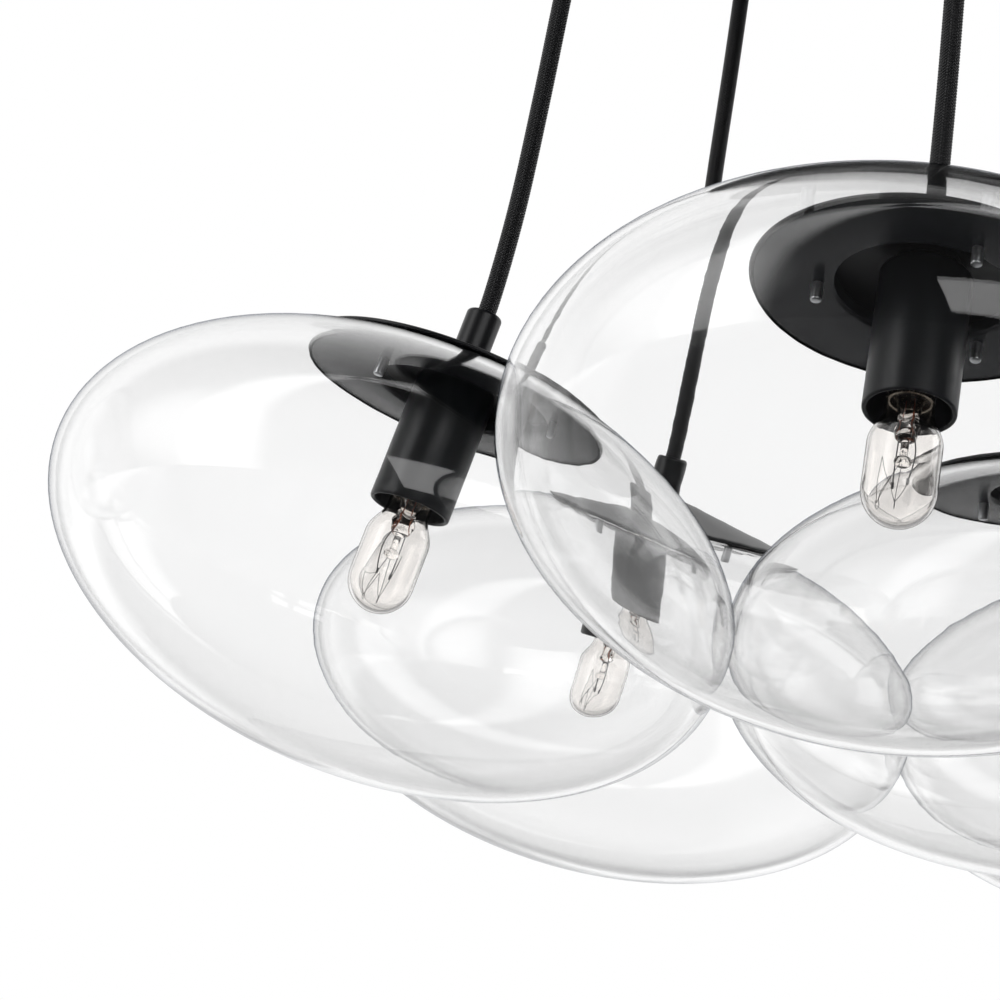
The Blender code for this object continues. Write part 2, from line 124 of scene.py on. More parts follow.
# How each pendant's screws and bulb are turned, in degrees
STUD_TURNS = {"1": 15, "2": 80, "3": 95, "4": 30, "5": 42, "6": 60, "centre": 20}
BULB_TURNS = {"1": 40, "2": 100, "3": 160, "4": 25, "5": 65, "6": 310, "centre": 75}

# Heights on a pendant's own axis, from the middle of its globe


def ball_height(radius, half_width, half_height):
    """The height above its middle at which a flattened ball is this wide."""
    return half_height * math.sqrt(1 - (radius / half_width) ** 2)


seat = ball_height(MOUTH_RADIUS, GLOBE_RADIUS, GLOBE_HALF_HEIGHT)
inner_edge = ball_height(MOUTH_RADIUS, GLOBE_RADIUS - GLOBE_WALL, GLOBE_HALF_HEIGHT - GLOBE_WALL)
lid_foot = seat + TOUCH_GAP
lid_top = lid_foot + LID_RISE
shoulder_top = lid_top - LID_SHEET - TOUCH_GAP
cup_mouth = seat - CUP_REACH
collar_foot = lid_top + TOUCH_GAP
nipple_top = collar_foot + NIPPLE_ABOVE_LID
cord_end = nipple_top + TOUCH_GAP
collar_top = collar_foot + COLLAR_HEIGHT
cap_foot = cup_mouth + CAP_INSET
contact_top = cap_foot + CAP_LENGTH + CONTACT_HEIGHT
bulb_tip = cup_mouth - BULB_REACH
joints = {joint["name"]: joint for joint in frame["joints"]}


def pendant_place(tag):
    """A pendant's own frame: its globe's middle at zero, +Z up its axis and +X outward."""
    turn = joints["bulb_turn_" + tag]
    up = -Vector(turn["axis"])
    middle = Vector(turn["pos_m"]) - up * bulb_tip
    outward = Vector((middle.x, middle.y, 0)) if tag in RING_TAGS else Vector((1, 0, 0))
    across = up.cross(outward).normalized()
    turned_axes = Matrix((across.cross(up), across, up)).transposed()
    return Matrix.Translation(middle) @ turned_axes.to_4x4()


places = {tag: pendant_place(tag) for tag in TAGS}
cover_face = -CANOPY_DEPTH
cover_floor = cover_face + CANOPY_SHEET
grip_foot = cover_face - GRIP_BELOW
pivot_height = grip_foot + GRIP_PIVOT_DEPTH


def port_place(tag):
    """A cord's exit in the canopy: zero on the ceiling, +X outward, with its grip below."""
    if tag not in RING_TAGS:
        return Matrix()
    turn = math.tau * RING_TAGS.index(tag) / len(RING_TAGS)
    return Matrix.Rotation(turn, 4, "Z") @ Matrix.Translation((PORT_RADIUS, 0, 0))


# Camera and cords

CAMERA_PLACE = (-0.4196, -1.2728, -0.6144)
CAMERA_LENS = 139.4
CAMERA_TURN = math.radians(-9.68)
CAMERA_TILT = math.radians(12.44)
CAMERA_ROLL = math.radians(3.72)
CAMERA_CLIP = (0.05, 60)


def place_camera():
    """The camera stands left of the middle, a little below the globes, and looks up and right."""
    camera = bpy.data.cameras.new("camera")
    camera.lens = CAMERA_LENS
    camera.clip_start, camera.clip_end = CAMERA_CLIP
    made = bpy.data.objects.new("camera", camera)
    bpy.context.scene.collection.objects.link(made)
    level = Matrix.Rotation(CAMERA_TURN, 4, "Z") @ Matrix.Rotation(math.pi / 2 + CAMERA_TILT, 4, "X")
    made.matrix_world = Matrix.Translation(CAMERA_PLACE) @ level @ Matrix.Rotation(CAMERA_ROLL, 4, "Z")
    bpy.context.scene.camera = made


def cord_route(tag):
    """The cord's own points, from its pivot in the grip down to its end in the collar."""
    pivot = port_place(tag) @ Vector((0, 0, pivot_height))
    end = places[tag] @ Vector((0, 0, cord_end))
    if tag not in RING_TAGS:
        return [pivot, end]
    leaving = places[tag] @ Vector((0, 0, collar_top + 2 * CORD_RADIUS))
    straight = pivot - Vector((0, 0, GRIP_PIVOT_DEPTH))
    run = leaving - straight
    middle = [straight + Vector((run.x * out, run.y * out, run.z * down)) for down, out in CORD_ROUTE_SHARES]
    return [pivot, straight] + middle + [leaving, end]


def smooth_route(points, spacing):
    """Points an even step apart on a smooth curve through the given points."""
    fine = []
    padded = [2 * points[0] - points[1]] + points + [2 * points[-1] - points[-2]]
    pieces = 16
    for before, start, stop, after in zip(padded, padded[1:], padded[2:], padded[3:]):
        for step in range(pieces):
            t = step / pieces
            bend = (2 * before - 5 * start + 4 * stop - after) * t**2
            twist = (3 * start - before - 3 * stop + after) * t**3
            fine.append(0.5 * (2 * start + (stop - before) * t + bend + twist))
    fine.append(points[-1])
    runs = [(b - a).length for a, b in zip(fine, fine[1:])]
    count = max(round(sum(runs) / spacing), 1)
    spaced, done, index = [fine[0]], 0, 0
    for number in range(1, count):
        target = sum(runs) * number / count
        while done + runs[index] < target:
            done += runs[index]
            index += 1
        spaced.append(fine[index].lerp(fine[index + 1], (target - done) / runs[index]))
    return spaced + [fine[-1]]


def swept(points, radius, sides, relief=None):
    """A round tube along points, bent from a flat grid, with closed ends and an optional relief."""
    shape = bmesh.new()
    last = len(points) - 1
    bmesh.ops.create_grid(shape, x_segments=sides, y_segments=last, size=0.5)
    wrap = shape.verts.layers.float_vector.new("wrap")
    ways = [points[1] - points[0]]
    ways += [after - before for before, after in zip(points, points[2:])]
    ways += [points[-1] - points[-2]]
    side = ways[0].orthogonal().normalized()
    sides_at, run, runs = [], 0, []
    for number, way in enumerate(ways):
        if number:
            side = ways[number - 1].rotation_difference(way) @ side
            run += (points[number] - points[number - 1]).length
        sides_at.append(side)
        runs.append(run)
    for point in shape.verts:
        angle = (point.co.x + 0.5) * math.tau
        number = round((point.co.y + 0.5) * last)
        across = ways[number].normalized().cross(sides_at[number])
        reach = radius + (relief(angle, runs[number]) if relief else 0)
        point[wrap] = (math.cos(angle), math.sin(angle), runs[number])
        point.co = points[number] + (sides_at[number] * math.cos(angle) + across * math.sin(angle)) * reach
    bmesh.ops.remove_doubles(shape, verts=shape.verts[:], dist=MERGE)
    bmesh.ops.holes_fill(shape, edges=[edge for edge in shape.edges if edge.is_boundary], sides=sides)
    bmesh.ops.recalc_face_normals(shape, faces=shape.faces[:])
    return shape


BRAID_STRANDS = 12  # each way round
BRAID_LEAD = 12.6 * MM  # the length in which a strand goes once round
BRAID_RELIEF = 0.25 * MM
BRAID_SUNK = 0.75  # the share of the relief that lies below the cord's own radius
CORD_SIDES = 48
RINGS_PER_STRAND = 4


def braid_relief(angle, along):
    """How far the crossing strands stand up from the cord's own radius."""
    right = BRAID_STRANDS * (angle / math.tau + along / BRAID_LEAD)
    left = BRAID_STRANDS * (angle / math.tau - along / BRAID_LEAD)
    over = 1 if (round(right) + round(left)) % 2 == 0 else -1
    right_hill = math.cos(math.pi * (right - round(right)))
    left_hill = math.cos(math.pi * (left - round(left)))
    height = max(right_hill * (1 + over * left_hill), left_hill * (1 - over * right_hill)) / 2
    return BRAID_RELIEF * (height - BRAID_SUNK)


def add_cord(tag, textile):
    """One braided cord, from its grip to its collar."""
    ring_step = BRAID_LEAD / BRAID_STRANDS / RINGS_PER_STRAND
    route = smooth_route(cord_route(tag), ring_step)
    shape = swept(route, CORD_RADIUS, CORD_SIDES, braid_relief)
    mesh = as_mesh(f"braided_cord_{tag}", shape, 80)
    made = add_piece(mesh.name, mesh, textile, "pendant_" + tag, Matrix(), "cord_textile", [f"cord_{tag}"])


# Small helpers for materials


def tone(code):
    """A colour written as sRGB hex, as the linear values that a shader takes."""
    parts = [int(code[start : start + 2], 16) / 255 for start in (0, 2, 4)]
    return tuple(p / 12.92 if p <= 0.04045 else ((p + 0.055) / 1.055) ** 2.4 for p in parts) + (1.0,)


def add(tree, kind, inputs=None, **settings):
    """A node with its settings. Each input is a value, or the socket that feeds it."""
    made = tree.nodes.new(kind)
    for name, value in settings.items():
        setattr(made, name, value)
    for name, value in (inputs or {}).items():
        if isinstance(value, bpy.types.NodeSocket):
            tree.links.new(value, made.inputs[name])
        else:
            made.inputs[name].default_value = value
    return made


def maths(tree, operation, *values):
    """The result of one operation on numbers or sockets."""
    return add(tree, "ShaderNodeMath", dict(enumerate(values)), operation=operation).outputs[0]


def ramp(tree, value, start, stop, low=0.0, high=1.0, easing="SMOOTHSTEP"):
    """A value that goes from low to high as another goes from start to stop, and holds at both ends."""
    span = {"Value": value, "From Min": start, "From Max": stop, "To Min": low, "To Max": high}
    return add(tree, "ShaderNodeMapRange", span, interpolation_type=easing).outputs[0]


def blend(tree, share, first, second):
    """The first colour where the share is nothing, and the second where it is one."""
    colours = {0: share, 6: tone(first), 7: tone(second)}
    return add(tree, "ShaderNodeMix", colours, data_type="RGBA").outputs[2]


def grain(tree, size, detail):
    """Soft noise with spots of about this size, fixed to the piece."""
    place = add(tree, "ShaderNodeTexCoord").outputs["Object"]
    return add(tree, "ShaderNodeTexNoise", {"Vector": place, "Scale": 1 / size, "Detail": detail}).outputs[0]


def skin(tree, height, strength, depth):
    """The normals of a skin that rises with the height, by up to this depth."""
    values = {"Height": height, "Strength": strength, "Distance": depth}
    return add(tree, "ShaderNodeBump", values).outputs[0]


def blank(name):
    """An empty material and its node tree."""
    made = bpy.data.materials.new(name)
    made.use_nodes = True
    made.node_tree.nodes.clear()
    return made, made.node_tree


def give_surface(tree, values):
    """Makes a principled surface with these values the material's own."""
    shader = add(tree, "ShaderNodeBsdfPrincipled", values)
    add(tree, "ShaderNodeOutputMaterial", {"Surface": shader.outputs[0]})


def black_coat(name, cloud_size, glosses, tones, peel_size, peel_detail, peel_depth):
    """A near-black coat on steel, slightly cloudy in gloss and tone, with an orange-peel skin."""
    made, tree = blank(name)
    cloud = grain(tree, cloud_size, 3.0)
    give_surface(
        tree,
        {
            "Base Color": blend(tree, cloud, *tones),
            "Roughness": ramp(tree, cloud, 0.0, 1.0, *glosses, easing="LINEAR"),
            "Specular IOR Level": 0.4,
            "Normal": skin(tree, grain(tree, peel_size, peel_detail), 0.08, peel_depth),
        },
    )
    return made


def satin_black_powder_coat():
    """Powder coat, sprayed and baked on steel: near black, satin, with a fine orange-peel skin."""
    return black_coat(
        "satin_black_powder_coat",
        cloud_size=25 * MM,
        glosses=(0.30, 0.40),
        tones=("0b0c0e", "121316"),
        peel_size=0.8 * MM,
        peel_detail=2.0,
        peel_depth=0.02 * MM,
    )


def gloss_black_enamel():
    """Stoved enamel on the plate in the globe's mouth: smoother than the lid, so it mirrors softly."""
    return black_coat(
        "gloss_black_enamel",
        cloud_size=30 * MM,
        glosses=(0.20, 0.30),
        tones=("0d0e11", "141619"),
        peel_size=1.6 * MM,
        peel_detail=1.0,
        peel_depth=0.05 * MM,
    )


# The painted rim shade fades out over this span on a globe's underside, which faces the pale floor.
UNDERSIDE = (-0.95, -0.1)  # how far a normal points up, from a globe's foot to just under its side


def rim_share(tree, start, under):
    """Where glass gets its painted rim shade: nothing face on, one where it is seen edge on, and less where
    it faces the pale floor.
    """
    weight = add(tree, "ShaderNodeLayerWeight", {"Blend": 0.5})
    share = ramp(tree, weight.outputs["Facing"], start, 1.0)
    normal = add(tree, "ShaderNodeNewGeometry").outputs["Normal"]
    upward = add(tree, "ShaderNodeSeparateXYZ", {0: normal}).outputs[2]
    return maths(tree, "MULTIPLY", share, ramp(tree, upward, *UNDERSIDE, under, 1.0, "LINEAR"))


def see_through(tree, shader, tint, rim_shade, share):
    """Lets light and soft bounces straight through thin glass, and paints a grey shade on its edge-on rim.
    """
    path = add(tree, "ShaderNodeLightPath")
    soft = maths(tree, "MAXIMUM", path.outputs["Is Shadow Ray"], path.outputs["Is Diffuse Ray"])
    either = maths(tree, "MAXIMUM", soft, share)
    clear = add(tree, "ShaderNodeBsdfTransparent", {"Color": blend(tree, share, tint, rim_shade)})
    return add(tree, "ShaderNodeMixShader", {0: either, 1: shader, 2: clear.outputs[0]}).outputs[0]


def blown_clear_glass():
    """Mouth-blown soda-lime glass: clear and fire-polished, with faint waves that bend what is behind."""
    made, tree = blank("blown_clear_glass")
    glass = add(
        tree,
        "ShaderNodeBsdfPrincipled",
        {
            "Base Color": tone("ffffff"),
            "Roughness": 0.0,
            "IOR": 1.46,
            "Transmission Weight": 1.0,
            "Normal": skin(tree, grain(tree, 16 * MM, 2.0), 0.2, 0.06 * MM),
        },
    )
    # The edge-on rim is painted a grey shade, 999ea6, which fades on the underside that faces the pale
    # floor.
    both = see_through(tree, glass.outputs[0], "fbfbfc", "999ea6", rim_share(tree, 0.78, 0.35))
    depth = add(tree, "ShaderNodeVolumeAbsorption", {"Color": (0.12, 0.14, 0.18, 1.0), "Density": 3.0})
    add(tree, "ShaderNodeOutputMaterial", {"Surface": both, "Volume": depth.outputs[0]})
    return made


def bulb_glass():
    """Thin drawn glass of a clear bulb, with the slightest warm tint, and its edge-on rims painted a dark
    grey shade.
    """
    made, tree = blank("bulb_glass")
    glass = add(
        tree,
        "ShaderNodeBsdfPrincipled",
        {"Base Color": tone("fefcfa"), "Roughness": 0.0, "IOR": 1.5, "Transmission Weight": 1.0},
    )
    # Painted dark grey shade, 4a4643, on the bulb's edge-on rims.
    both = see_through(tree, glass.outputs[0], "faf9f8", "4a4643", rim_share(tree, 0.68, 1.0))
    add(tree, "ShaderNodeOutputMaterial", {"Surface": both})
    return made


def braid_height(tree):
    """The crossing strands' height for the shader, from nothing to one, worked out as in braid_relief."""
    wrap = add(tree, "ShaderNodeAttribute", attribute_name="wrap", attribute_type="GEOMETRY")
    parts = add(tree, "ShaderNodeSeparateXYZ", {0: wrap.outputs["Vector"]}).outputs
    turn = maths(tree, "ARCTAN2", parts[1], parts[0])
    around = maths(tree, "MULTIPLY", turn, BRAID_STRANDS / math.tau)
    along = maths(tree, "MULTIPLY", parts[2], BRAID_STRANDS / BRAID_LEAD)
    hills, ranks = [], []
    for way in ("ADD", "SUBTRACT"):
        strand = maths(tree, way, around, along)
        rank = maths(tree, "ROUND", strand)
        off = maths(tree, "SUBTRACT", strand, rank)
        hills.append(maths(tree, "COSINE", maths(tree, "MULTIPLY", off, math.pi)))
        ranks.append(rank)
    over = maths(tree, "COSINE", maths(tree, "MULTIPLY", maths(tree, "ADD", *ranks), math.pi))
    heights = []
    for own, other, sign in ((hills[0], hills[1], 0.5), (hills[1], hills[0], -0.5)):
        share = maths(tree, "MULTIPLY_ADD", maths(tree, "MULTIPLY", over, other), sign, 0.5)
        heights.append(maths(tree, "MULTIPLY", own, share))
    return maths(tree, "MAXIMUM", *heights)


def braided_black_cotton():
    """Braid of glazed black yarn: every strand is a bundle of fine threads with a soft shine."""
    made, tree = blank("braided_black_cotton")
    thread_share = 0.35
    threads = grain(tree, 0.35 * MM, 3.0)
    relief_and_groove_shade = maths(tree, "MULTIPLY_ADD", threads, thread_share, braid_height(tree))
    give_surface(
        tree,
        {
            # The grooves between strands are painted darker as shade and the strands' crowns lighter; the
            # thread noise adds random tone.
            "Base Color": blend(tree, relief_and_groove_shade, "020203", "161618"),
            "Roughness": 0.36,
            "IOR": 1.45,
            "Sheen Weight": 0.04,
            "Sheen Roughness": 0.4,
            "Normal": skin(tree, relief_and_groove_shade, 0.8, 0.3 * MM),
        },
    )
    return made


def bright_metal(name, colour, roughness, streak):
    """A bare metal with fine scratches of its own size."""
    made, tree = blank(name)
    scratches = grain(tree, streak, 4.0)
    give_surface(
        tree,
        {
            "Base Color": tone(colour),
            "Metallic": 1.0,
            "Roughness": ramp(tree, scratches, 0.0, 1.0, roughness * 0.75, roughness * 1.3, "LINEAR"),
            "Normal": skin(tree, scratches, 0.1, 0.03 * MM),
        },
    )
    return made


def moulded_white_polyamide():
    """Injection-moulded polyamide: off-white, matt, with a fine spark-eroded grain."""
    made, tree = blank("moulded_white_polyamide")
    sparks = grain(tree, 0.5 * MM, 2.0)
    give_surface(
        tree,
        {
            "Base Color": blend(tree, sparks, "e2e1dc", "eceae5"),
            "Roughness": 0.5,
            "Normal": skin(tree, sparks, 0.2, 0.05 * MM),
        },
    )
    return made


# Small helpers for shapes


def arc(middle, radius, start, stop, steps):
    """Points on a round stretch of an outline, from one angle to another, in degrees."""
    angles = [math.radians(start + (stop - start) * step / steps) for step in range(steps + 1)]
    return [(middle[0] + radius * math.cos(a), middle[1] + radius * math.sin(a)) for a in angles]


def quarter(steps):
    """Even angles over a quarter turn."""
    return [math.pi / 2 * step / steps for step in range(steps + 1)]


def turned(outline, sides):
    """A turned shape from (radius, height) points that start on the axis, or go round a bore."""
    shape = bmesh.new()
    points = [shape.verts.new((radius, 0, height)) for radius, height in outline]
    for first, second in zip(points, points[1:]):
        shape.edges.new((first, second))
    if outline[0][0] > 0:
        shape.edges.new((points[-1], points[0]))
    bmesh.ops.spin(
        shape,
        geom=shape.verts[:] + shape.edges[:],
        cent=(0, 0, 0),
        axis=(0, 0, 1),
        angle=math.tau,
        steps=sides,
        use_merge=True,
    )
    bmesh.ops.remove_doubles(shape, verts=shape.verts[:], dist=MERGE)
    bmesh.ops.recalc_face_normals(shape, faces=shape.faces[:])
    return shape


def as_mesh(name, shape, sharp=35):
    """The finished mesh of a shape, smooth where it is round."""
    mesh = bpy.data.meshes.new(name)
    shape.to_mesh(mesh)
    shape.free()
    mesh.shade_smooth()
    mesh.set_sharp_from_angle(angle=math.radians(sharp))
    return mesh


def add_piece(name, mesh, material, body, place, slot, replaced=()):
    """A piece that rides on its body, with its place in its own copy of the mesh."""
    own = mesh.copy()
    own.name = name
    own.transform(place)
    own.materials.clear()
    own.materials.append(material)
    made = bpy.data.objects.new(name, own)
    bpy.context.scene.collection.objects.link(made)
    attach(made, body)
    if replaced:
        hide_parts(*replaced)
    return made


# The pendant's pieces, in the pendant's own frame

GLOBE_SIDES = 144
GLOBE_STEPS = 56
WALL_WAVE = 0.12 * MM
WAVE_LENGTH = 55 * MM
INNER_SIDE = 0.99  # less than this is inside, where one is on the outer side


def globe_mesh():
    """The glass from its lowest point up, over a fire-polished edge and down its inner side."""
    outline = []
    for wall, top in ((0, seat), (GLOBE_WALL, inner_edge)):
        half_height = GLOBE_HALF_HEIGHT - wall
        climb = math.asin(top / half_height) + math.pi / 2
        rise = [-math.pi / 2 + climb * step / GLOBE_STEPS for step in range(GLOBE_STEPS + 1)]
        side = [((GLOBE_RADIUS - wall) * math.cos(a), half_height * math.sin(a)) for a in rise]
        side[0] = (0, -half_height)
        outline += side[::-1] if wall else side
    shape = turned(outline, GLOBE_SIDES)
    for point in shape.verts:
        outer_side = (point.co.xy.length / GLOBE_RADIUS) ** 2 + (point.co.z / GLOBE_HALF_HEIGHT) ** 2
        if outer_side < INNER_SIDE and point.co.z < inner_edge - GLOBE_WALL:
            thicker = noise.noise(point.co / WAVE_LENGTH)
            point.co -= point.co.normalized() * WALL_WAVE * thicker
    return as_mesh("globe", shape, 60)


def lid_height(radius):
    """The height of the lid's top at this radius."""
    share = max(radius - LID_PAD_RADIUS, 0) / (LID_RADIUS - LID_PAD_RADIUS)
    return lid_foot + LID_EDGE + (LID_RISE - LID_EDGE) * (1 - share)


def lid_mesh():
    """The domed lid: a spun sheet with a rounded rim that rests on the glass."""
    steps = 28
    bore = NIPPLE_RADIUS + TOUCH_GAP
    rim = LID_RADIUS - LID_RIM_WIDTH
    edge_round = 0.55 * MM
    span = LID_RADIUS - edge_round - LID_PAD_RADIUS
    over = [LID_PAD_RADIUS + span * step / steps for step in range(steps + 1)]
    under = [rim + (LID_PAD_RADIUS - rim) * step / steps for step in range(steps + 1)]
    top = [(radius, lid_height(radius)) for radius in over]
    across = LID_RADIUS - edge_round
    edge = arc((across, lid_foot + LID_EDGE - edge_round), edge_round, 60, 0, 4)
    foot = arc((across, lid_foot + edge_round), edge_round, 0, -90, 4)
    inside = [(radius, max(lid_height(radius) - LID_SHEET, lid_foot)) for radius in under]
    outline = [(bore, lid_top)] + top + edge + foot + [(rim, lid_foot)] + inside
    outline += [(bore, lid_top - LID_SHEET)]
    return as_mesh("lid", turned(outline, 128), 30)


def retainer_mesh():
    """The plate in the globe's mouth, with a rolled lip round the well in its middle."""
    under = seat - RETAINER_SHEET
    lip_top = seat + WELL_LIP_HEIGHT
    roll = 1.4 * MM
    edge_round = 0.4 * MM
    outline = arc((WELL_RADIUS + roll, under + roll), roll, 180, 270, 8)
    outline += arc((RETAINER_RADIUS - edge_round, under + edge_round), edge_round, -90, 0, 3)
    outline += arc((RETAINER_RADIUS - edge_round, seat - edge_round), edge_round, 0, 90, 3)
    outline += [(WELL_RADIUS + WELL_LIP, seat), (WELL_RADIUS + WELL_LIP, lip_top), (WELL_RADIUS, lip_top)]
    return as_mesh("retainer", turned(outline, 128), 30)


def cup_mesh():
    """The lamp holder: a deep-drawn cup with a rounded shoulder and a thin rolled mouth."""
    shoulder_round = 2.2 * MM
    lip = CUP_WALL / 2
    floor = contact_top + TOUCH_GAP
    holder = CAP_RADIUS + 0.6 * MM
    slope = shoulder_top - 2 * SHOULDER_STEP
    outline = [
        (0, nipple_top),
        (NIPPLE_RADIUS, nipple_top),
        (NIPPLE_RADIUS, shoulder_top),
        (SHOULDER_RADIUS, shoulder_top),
        (SHOULDER_RADIUS, shoulder_top - SHOULDER_STEP),
    ]
    outline += arc((CUP_RADIUS - shoulder_round, slope - shoulder_round), shoulder_round, 65, 0, 6)
    outline += arc((CUP_RADIUS - lip, cup_mouth + lip), lip, 0, -180, 8)
    outline += [
        (CUP_RADIUS - CUP_WALL, cup_mouth + CUP_MOUTH_DEPTH),
        (holder, cup_mouth + CUP_MOUTH_DEPTH),
        (holder, floor),
        (0, floor),
    ]
    return as_mesh("cup", turned(outline, 96), 30)


def collar_mesh():
    """The sleeve on the lid that holds the cord, with a rounded top edge."""
    bore = CORD_RADIUS + CORD_CLEARANCE
    nut = NIPPLE_RADIUS + TOUCH_GAP
    lip = 0.4 * MM
    across = COLLAR_RADIUS - COLLAR_ROUND
    outline = [(nut, collar_foot), (COLLAR_RADIUS - lip, collar_foot), (COLLAR_RADIUS, collar_foot + lip)]
    outline += arc((across, collar_top - COLLAR_ROUND), COLLAR_ROUND, 0, 90, 8)
    outline += [(bore + lip, collar_top), (bore, collar_top - lip), (bore, cord_end), (nut, cord_end)]
    return as_mesh("collar", turned(outline, 64), 30)


def stud_mesh():
    """The rounded end of one screw below the plate."""
    under = seat - RETAINER_SHEET
    tip = 0.7 * MM
    outline = [(0, under), (STUD_RADIUS, under)]
    outline += arc((STUD_RADIUS - tip, under - STUD_REACH + tip), tip, 0, -90, 5)
    outline += [(0, under - STUD_REACH)]
    return as_mesh("stud", turned(outline, 32), 30)


def bulb_mesh():
    """The bulb's glass: round end, tube, shoulder and neck, as a thin wall with both its sides."""
    outline = []
    shoulder = cup_mouth - TOUCH_GAP
    neck_top = cap_foot + 4 * MM
    for wall in (0, BULB_WALL):
        tube = BULB_RADIUS - wall
        neck = BULB_NECK_RADIUS - wall
        low = bulb_tip + wall * 1.6
        end = [(tube * math.sin(a), low + tube * (1 - math.cos(a))) for a in quarter(14)]
        swell = [
            (
                tube + (neck - tube) * (1 - math.cos(2 * a)) / 2,
                shoulder - BULB_SHOULDER + BULB_SHOULDER * 2 * a / math.pi,
            )
            for a in quarter(14)
        ]
        side = [(0, low)] + end[1:] + swell + [(neck, neck_top)]
        outline += side[::-1] if wall else side
    return as_mesh("bulb", turned(outline, 64), 50)


def cap_mesh():
    """The bulb's screw cap: its thread as plain rings, and a contact on its insulator."""
    outline = []
    wall = 0.35 * MM
    pitch = 2.6 * MM
    depth = 0.45 * MM
    turns = 5
    skirt = 4 * MM
    bore = CAP_RADIUS - wall - depth
    for step in range(turns * 8 + 1):
        height = cap_foot + skirt + pitch * step / 8
        outline.append((CAP_RADIUS - depth * (1 - math.cos(math.tau * step / 8)) / 2, height))
    top = outline[-1][1]
    outline = [(bore, cap_foot), (CAP_RADIUS, cap_foot)] + outline
    outline += [(CONTACT_RADIUS, contact_top - CONTACT_HEIGHT / 2), (CONTACT_RADIUS, contact_top)]
    outline += [(0, contact_top), (0, contact_top - CONTACT_HEIGHT), (bore, top)]
    return as_mesh("cap", turned(outline, 48), 50)


STEM_RADIUS = 3.4 * MM
PINCH_FROM = 4 * MM  # depths below the cup's mouth
PINCH_TO = 10 * MM
BEAD_DEPTH = 17 * MM
BEAD_RADIUS = 2.7 * MM
BEAD_HALF_HEIGHT = 1.7 * MM
CANE_RADIUS = 1.2 * MM
LEAD_SIDE = 2.6 * MM
LEAD_END = 25 * MM
LEAD_END_SIDE = 1.05 * LEAD_SIDE


def stem_mesh():
    """The glass mount inside the bulb: a flared tube, its flat pinch, a cane and a bead."""
    top = cap_foot + 2 * MM
    flare = BULB_NECK_RADIUS - BULB_WALL - 0.3 * MM
    neck = cup_mouth - 2 * MM
    wall = 0.7 * MM
    widths = [STEM_RADIUS + (flare - STEM_RADIUS) * (1 - math.sin(a)) for a in quarter(10)]
    heights = [top + (neck - top) * (1 - math.cos(a)) for a in quarter(10)]
    outer = list(zip(widths, heights))
    bore = [(width - wall, height) for width, height in outer]
    pinch_top = cup_mouth - PINCH_FROM
    pinch_foot = cup_mouth - PINCH_TO
    bead = cup_mouth - BEAD_DEPTH
    bore_end = STEM_RADIUS - wall
    outline = [(bore_end * math.sin(a), pinch_top + wall + bore_end * (1 - math.cos(a))) for a in quarter(6)]
    outline += bore[::-1] + outer + [(STEM_RADIUS, pinch_top)]
    belly = (pinch_top - pinch_foot) / 2
    bulge = 0.5 * MM
    outline += [
        (STEM_RADIUS + bulge * math.sin(math.pi * step / 10), pinch_top - belly * step / 10)
        for step in range(1, 10)
    ]
    outline += arc((STEM_RADIUS - 2 * MM, pinch_foot + 2 * MM), 2 * MM, 0, -60, 8)
    outline += [(CANE_RADIUS, pinch_foot - 0.6 * MM), (CANE_RADIUS, bead + BEAD_HALF_HEIGHT)]
    steps = 10
    angles = [math.radians(60 - 150 * step / steps) for step in range(steps + 1)]
    outline += [(BEAD_RADIUS * math.cos(a), bead + BEAD_HALF_HEIGHT * math.sin(a)) for a in angles]
    outline[-1] = (0, bead - BEAD_HALF_HEIGHT)
    shape = turned(outline, 40)
    for point in shape.verts:
        share = (pinch_top + 1 * MM - point.co.z) / (PINCH_TO - PINCH_FROM)
        flat = math.sin(math.pi * min(max(share, 0), 1))
        point.co.y *= 1 - 0.45 * flat
        point.co.x *= 1 + 0.22 * flat
    return as_mesh("stem", shape, 60)


def wire_mesh(name, routes, radius, sides=8):
    """One or more round wires, each along its own points below the cup's mouth, as one mesh."""
    whole = bmesh.new()
    for route in routes:
        points = [Vector((x, y, cup_mouth - depth)) for x, y, depth in route]
        wire = swept(smooth_route(points, 1 * MM), radius, sides)
        part = bpy.data.meshes.new(name)
        wire.to_mesh(part)
        wire.free()
        whole.from_mesh(part)
        bpy.data.meshes.remove(part)
    return as_mesh(name, whole, 80)


def lead_routes():
    """The two nickel lead wires, from the pinch down to the filament's ends."""
    bow = 4.4 * MM
    top = PINCH_TO - 2 * MM
    straight = [(-LEAD_SIDE, 0, top), (-LEAD_SIDE * 1.1, 0, 17 * MM), (-LEAD_END_SIDE, 0, LEAD_END)]
    bowed = [
        (LEAD_SIDE, 0, top),
        (bow * 0.92, 0, 12.5 * MM),
        (bow, 0, 16 * MM),
        (bow * 0.9, 0, 20 * MM),
        (LEAD_END_SIDE, 0, LEAD_END),
    ]
    return straight, bowed


def copper_routes():
    """The copper-clad ends of the lead wires inside the stem."""
    side = 1.6 * MM
    foot = 2.4 * MM
    return [
        [(s * side, 0, -4 * MM), (s * side * 1.1, 0, 3 * MM), (s * foot, 0, PINCH_TO - 1.5 * MM)]
        for s in (1, -1)
    ]


def crimp_routes():
    """Where each lead wire is folded over the filament's end."""
    top = LEAD_END - 1.6 * MM
    foot = LEAD_END + 0.4 * MM
    return [[(s * LEAD_END_SIDE, 0, top), (s * LEAD_END_SIDE, 0, foot)] for s in (1, -1)]


def hooks():
    """Where the filament is held, in turn from one lead wire to the other."""
    spots = ((205, 6.4, 15), (228, 6.0, 32), (262, 3.8, 24), (300, 4.6, 33), (335, 6.2, 26))
    made = []
    for angle, reach, depth in spots:
        turn = math.radians(angle)
        made.append((reach * MM * math.cos(turn), reach * MM * math.sin(turn), depth * MM))
    return made


